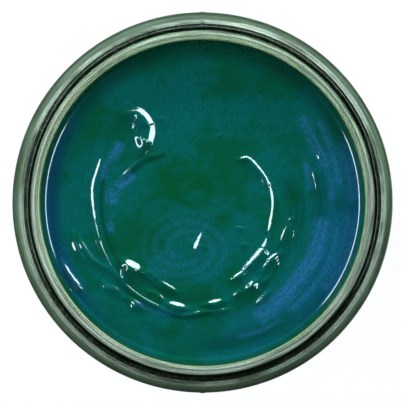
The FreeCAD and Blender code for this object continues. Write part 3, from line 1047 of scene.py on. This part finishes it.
def lid_profile(s, radius, height):
    """Half section of the lid from the middle of its underside, round the skirt and back inside."""
    ribbed = radius - s.rib_depth
    bore = radius - s.wall
    recess_edge = radius - s.recess_margin
    high = height - s.rib_margin
    return [
        *run((0, s.recess), (recess_edge, s.recess), 10)[1:],
        (recess_edge, s.recess),
        (recess_edge + SMALL_EDGE, SMALL_EDGE * 0.3),
        (recess_edge + 2 * SMALL_EDGE, 0),
        *arc(radius - s.edge, s.edge, s.edge, 270, 360, 8),
        (radius, s.rib_margin - SMALL_EDGE),
        (ribbed, s.rib_margin),
        *run((ribbed, s.rib_margin), (ribbed, high), 6)[1:],
        (ribbed, high),
        (radius, high + SMALL_EDGE),
        *arc(radius - s.bevel, height - s.bevel, s.bevel, 0, 90, 4),
        *arc(bore + s.bevel, height - s.bevel, s.bevel, 90, 180, 4),
        *run((bore, height - s.bevel), (bore, s.top + 2 * SMALL_EDGE), 48)[1:],
        *arc(bore - 2 * SMALL_EDGE, s.top + 2 * SMALL_EDGE, 2 * SMALL_EDGE, 0, -90, 5),
        *run((bore - 2 * SMALL_EDGE, s.top), (0, s.top), 8)[1:],
    ]


RIB_SOCKETS = {
    "Count": "Int",
    "Skirt Radius": "Float",
    "Rib Width": "Float",
    "Rib Depth": "Float",
    "Rib Length": "Float",
    "Place": "Vector",
}


def rib_tree(material):
    """Geometry Nodes tree that stands rounded ribs round an upright axis, and its sockets by name."""
    tree = bpy.data.node_groups.new("skirt_ribs", "GeometryNodeTree")
    sockets = {}
    for label, kind in RIB_SOCKETS.items():
        socket = tree.interface.new_socket(label, in_out="INPUT", socket_type=f"NodeSocket{kind}")
        sockets[label] = socket.identifier
    tree.interface.new_socket("Geometry", in_out="OUTPUT", socket_type="NodeSocketGeometry")
    nodes = Nodes(tree)
    given = nodes.add("NodeGroupInput").outputs
    circle = {"Vertices": given["Count"], "Radius": given["Skirt Radius"]}
    ring = nodes.add("GeometryNodeMeshCircle", circle).outputs["Mesh"]
    thickness = nodes.times(given["Rib Width"], 0.5)
    bar = {"Vertices": RIB_SIDES, "Radius": thickness, "Depth": given["Rib Length"]}
    bar = nodes.add("GeometryNodeMeshCylinder", bar).outputs["Mesh"]
    flatten = nodes.math("DIVIDE", nodes.times(given["Rib Depth"], 4.0), given["Rib Width"])
    flat = nodes.add("ShaderNodeCombineXYZ", {"X": flatten, "Y": 1.0, "Z": 1.0})
    spot = nodes.add("GeometryNodeInputPosition")
    facing = nodes.add("FunctionNodeAlignRotationToVector", {"Vector": spot}, axis="X")
    bars = {"Points": ring, "Instance": bar, "Rotation": facing, "Scale": flat}
    bars = nodes.add("GeometryNodeInstanceOnPoints", bars)
    moved = nodes.add("GeometryNodeTransform", {"Geometry": bars, "Translation": given["Place"]})
    real = nodes.add("GeometryNodeRealizeInstances", {"Geometry": moved})
    coat = nodes.add("GeometryNodeSetMaterial", {"Geometry": real, "Material": material})
    nodes.add("NodeGroupOutput", {"Geometry": coat})
    return tree, sockets


def made_by_nodes(name, tree, values):
    """Plain mesh object from a Geometry Nodes tree with the given values by socket identifier."""
    holder = linked(name, bpy.data.meshes.new(name))
    modifier = holder.modifiers.new(name, "NODES")
    modifier.node_group = tree
    for identifier, value in values.items():
        modifier[identifier] = value
    graph = bpy.context.evaluated_depsgraph_get()
    mesh = bpy.data.meshes.new_from_object(holder.evaluated_get(graph), depsgraph=graph)
    holder.modifiers.remove(modifier)
    holder.data = mesh
    mesh.shade_smooth()
    mesh.set_sharp_from_angle(angle=math.radians(RIB_SHARP))
    return holder


class PAINTJAR_OT_lid(bpy.types.Operator):
    """Make the screw lid with its ribs and inner thread, lying inner side up"""

    bl_idname = "paint_jar.lid"
    bl_label = "Lid"

    def execute(self, context):
        s = context.scene.paint_jar_lid
        middle = (LID_LOW.x + LID_HIGH.x) / 2
        radius = (LID_HIGH.y - LID_LOW.y) / 2
        height = LID_HIGH.z
        angles = round_angles(LID_AROUND)
        profile = np.array(lid_profile(s, radius, height))
        rings = spin(profile, angles, middle)
        on_bore = np.abs(profile[:, 0] - (radius - s.wall)) < ON_WALL
        inside = on_bore & (profile[:, 1] > s.top + 1 * MM)
        wall = rings[inside]
        thread = thread_height(angles[None, :], wall[..., 2], s.thread_low, s)
        push_out(wall, -thread * s.thread_depth, middle)
        rings[inside] = wall
        material = plastic_material(s)
        piece = shell("lid_shell", (middle, 0, s.recess), rings, (middle, 0, s.top))
        piece.data.set_sharp_from_angle(angle=math.radians(LID_SHARP))
        put(piece, "lid", "lid_plastic", material, "lid_cap")
        tree, socket = rib_tree(material)
        values = {
            socket["Count"]: s.rib_count,
            socket["Skirt Radius"]: radius - 2 * s.rib_depth,
            socket["Rib Width"]: RIB_SHARE * math.tau * radius / s.rib_count,
            socket["Rib Depth"]: s.rib_depth,
            socket["Rib Length"]: height - 2 * s.rib_margin,
            socket["Place"]: (middle, 0.0, height / 2),
        }
        ribs = made_by_nodes("lid_ribs", tree, values)
        put(ribs, "lid", "lid_plastic", material)
        return {"FINISHED"}


class PAINTJAR_OT_liner(bpy.types.Operator):
    """Make the foam liner with the ring that the jar's rim has pressed in it"""

    bl_idname = "paint_jar.liner"
    bl_label = "Liner"

    def execute(self, context):
        s = context.scene.paint_jar_lid
        middle = (LINER_LOW.x + LINER_HIGH.x) / 2
        radius = (LINER_HIGH.y - LINER_LOW.y) / 2
        low, high = LINER_LOW.z, LINER_HIGH.z
        flat = radius - LINER_EDGE
        angles = round_angles(LINER_AROUND)
        profile = np.array([
            *run((0, low), (flat, low), 4)[1:],
            *arc(flat, low + LINER_EDGE, LINER_EDGE, 270, 360, 4),
            *arc(flat, high - LINER_EDGE, LINER_EDGE, 0, 90, 4),
            *run((flat, high), (0, high), 90)[1:],
        ])
        rings = spin(profile, angles, middle)
        dent = bell(profile[:, 0] - s.rim_mark, DENT_WIDTH) * (profile[:, 1] > high - 0.01 * MM)
        around_x, around_y = np.cos(angles) * DENT_AROUND, np.sin(angles) * DENT_AROUND
        uneven = 1 + DENT_UNEVEN * waves(around_x, around_y, DENT_SEED, 2)
        rings[..., 2] -= dent[:, None] * uneven * s.mark_depth
        piece = shell("lid_liner_disc", (middle, 0, low), rings, (middle, 0, high))
        x, y, _ = fetch(piece.data.vertices, "co").T
        patchy = smooth(waves(x * STAIN_SCALE, y * STAIN_SCALE, STAIN_SEED), *STAIN_PATCHES)
        ring = bell(np.hypot(x - middle, y) - s.rim_mark + STAIN_IN, STAIN_WIDTH)
        store(piece.data, stain=np.clip(ring * patchy, 0, 1))
        foam = foam_material(s, context.scene.paint_jar_paint)
        put(piece, "lid", "liner_foam", foam, "lid_liner")
        return {"FINISHED"}


# --- studio ---
LAMPS = [
    # name, place, width, depth
    ("softbox_left", (-0.62, 0.08, 0.62), 0.80, 0.16),
    ("softbox_right", (0.62, -0.05, 0.62), 0.56, 0.16),
    ("strip_right_back", (0.62, 0.65, 0.31), 1.10, 0.15),
    ("strip_back", (0.0, 0.90, 0.31), 0.50, 0.15),
    ("strip_left_back", (-0.49, 0.755, 0.31), 0.80, 0.15),
]
LAMP_COLOUR = (0.74, 0.92, 1.0)
WHITE = (1, 1, 1, 1)
FLOOR_GREY = (0.85, 0.85, 0.85, 1)
FLOOR_DROP = 0.05 * MM  # the floor lies so far under the jar's foot
FLOOR_PLAIN = 0.94  # the rest of the floor's white takes shadows
FLOOR_WAY = (-0.80, 0.60, 0.0)  # the floor is lighter on this side
FLOOR_CHANGE = (-0.05, 0.05)
FLOOR_THROUGH, FLOOR_MIRRORED = (0.1, 0.95), (0.03, 0.14)  # light of the dark and the light side
ROOM_TINT = (0.93, 0.96, 1.0, 1)
ROOM_WAY = (-0.7, 0.7, 0.0)
ROOM_SIDES = (0.30, 1.5)
ROOM_RISE, ROOM_LIGHT = (0.2, 0.42), (0.34, 0.03)  # the room is lighter low down
SHOULDER_BELOW = 3 * MM  # the half view is measured so far under the ledge
NEAREST, FARTHEST = 0.01, 10


def own_tree(owner):
    """Nodes of a material or world, without the ones that it starts with."""
    owner.use_nodes = True
    owner.node_tree.nodes.clear()
    return Nodes(owner.node_tree)


def floor_material():
    """White sweep that shows as plain white and still takes a faint shadow."""
    material = bpy.data.materials.new("white_sweep")
    nodes = own_tree(material)
    paths = nodes.add("ShaderNodeLightPath").outputs
    camera, through = paths["Is Camera Ray"], paths["Is Transmission Ray"]
    seen = nodes.math("MAXIMUM", nodes.math("MAXIMUM", camera, through), paths["Is Glossy Ray"])
    side = nodes.leaning(nodes.add("ShaderNodeTexCoord").outputs["Object"], FLOOR_WAY)
    inside = nodes.times(nodes.span(side, *FLOOR_CHANGE, *FLOOR_THROUGH), through)
    mirrored = nodes.span(side, *FLOOR_CHANGE, *FLOOR_MIRRORED)
    mirrored = nodes.times(nodes.math("SUBTRACT", 1.0, through), mirrored)
    level = nodes.span(camera, 0, 1, nodes.plus(inside, mirrored), 1.0)
    matt = nodes.add("ShaderNodeBsdfDiffuse", {"Color": FLOOR_GREY})
    plain = nodes.add("ShaderNodeEmission", {"Color": WHITE, "Strength": level})
    nodes.end("ShaderNodeOutputMaterial", nodes.times(seen, FLOOR_PLAIN), matt, plain)
    return material


def softbox(name, place, target, width, height, radiance):
    """Rectangular lamp that faces the target, with its brightness as radiance."""
    lamp = bpy.data.lights.new(name, "AREA")
    lamp.shape = "RECTANGLE"
    lamp.size = width
    lamp.size_y = height
    lamp.energy = radiance * math.pi * width * height
    lamp.color = LAMP_COLOUR
    holder = linked(name, lamp)
    holder.location = place
    holder.rotation_euler = (Vector(target) - Vector(place)).to_track_quat("-Z", "Y").to_euler()


class PAINTJAR_OT_studio(bpy.types.Operator):
    """Make the floor, the camera straight above the jar, the softboxes and the white surroundings"""

    bl_idname = "paint_jar.studio"
    bl_label = "Studio"

    def execute(self, context):
        s = context.scene.paint_jar_studio
        glass = context.scene.paint_jar_glass
        half = s.floor_size / 2
        mesh = bpy.data.meshes.new("floor")
        corners = [(-half, -half), (half, -half), (half, half), (-half, half)]
        mesh.from_pydata([(x, y, -FLOOR_DROP) for x, y in corners], [], [(0, 1, 2, 3)])
        floor = linked("floor", mesh)
        floor.data.materials.append(floor_material())
        rim = Vector((0, 0, glass.height))
        for name, place, width, depth in LAMPS:
            softbox(name, place, rim, width, depth, s.lamp_radiance)
        self.make_world(context)
        self.make_camera(context, s, glass)
        context.scene.view_settings.view_transform = "Standard"
        return {"FINISHED"}

    def make_world(self, context):
        """White room for the camera, and a dimmer one, lighter low down at one side, for the rest."""
        world = bpy.data.worlds.new("white_room")
        context.scene.world = world
        nodes = own_tree(world)
        camera = nodes.add("ShaderNodeLightPath").outputs["Is Camera Ray"]
        direction = nodes.add("ShaderNodeTexCoord").outputs["Generated"]
        up = nodes.add("ShaderNodeSeparateXYZ", {"Vector": direction}).outputs["Z"]
        side = nodes.span(nodes.leaning(direction, ROOM_WAY), -1.0, 1.0, *ROOM_SIDES)
        room = nodes.times(nodes.span(up, *ROOM_RISE, *ROOM_LIGHT), side)
        light = nodes.add("ShaderNodeBackground", {"Color": ROOM_TINT, "Strength": room})
        plain = nodes.add("ShaderNodeBackground", {"Color": WHITE, "Strength": 1.0})
        nodes.end("ShaderNodeOutputWorld", camera, light, plain)

    def make_camera(self, context, s, glass):
        """Camera over the jar whose picture is two half views wide at the shoulder's height."""
        data = bpy.data.cameras.new("camera")
        shoulder = glass.finish_height + SHOULDER_BELOW
        data.lens = data.sensor_width / 2 * (s.camera_height + shoulder) / s.half_view
        data.clip_start, data.clip_end = NEAREST, FARTHEST
        camera = linked("camera", data)
        camera.location = (s.aim_x, s.aim_y, glass.height + s.camera_height)
        context.scene.camera = camera


class PAINTJAR_PT_panel(bpy.types.Panel):
    """Lists the pieces of the jar, with their settings"""

    bl_idname = "PAINTJAR_PT_panel"
    bl_label = "Paint Jar"
    bl_space_type = "VIEW_3D"
    bl_region_type = "UI"
    bl_category = "Paint Jar"

    def draw(self, context):
        for operator, group in OPERATORS:
            box = self.layout.box()
            box.operator(operator.bl_idname)
            if group:
                for key in SETTINGS[group].__annotations__:
                    box.prop(getattr(context.scene, group), key)


OPERATORS = [
    (PAINTJAR_OT_glass, "paint_jar_glass"),
    (PAINTJAR_OT_paint, "paint_jar_paint"),
    (PAINTJAR_OT_lid, "paint_jar_lid"),
    (PAINTJAR_OT_liner, None),
    (PAINTJAR_OT_studio, "paint_jar_studio"),
]
CLASSES = [*SETTINGS.values(), *(operator for operator, _ in OPERATORS), PAINTJAR_PT_panel]


def register():
    for item in CLASSES:
        bpy.utils.register_class(item)
    for key, group in SETTINGS.items():
        setattr(bpy.types.Scene, key, bpy.props.PointerProperty(type=group))


def unregister():
    for key in SETTINGS:
        delattr(bpy.types.Scene, key)
    for item in reversed(CLASSES):
        bpy.utils.unregister_class(item)


def main():
    register()
    make_patches_group()
    make_flecks_group()
    bpy.ops.paint_jar.glass()
    bpy.ops.paint_jar.paint()
    bpy.ops.paint_jar.lid()
    bpy.ops.paint_jar.liner()
    bpy.ops.paint_jar.studio()


if __name__ == "__main__":
    main()
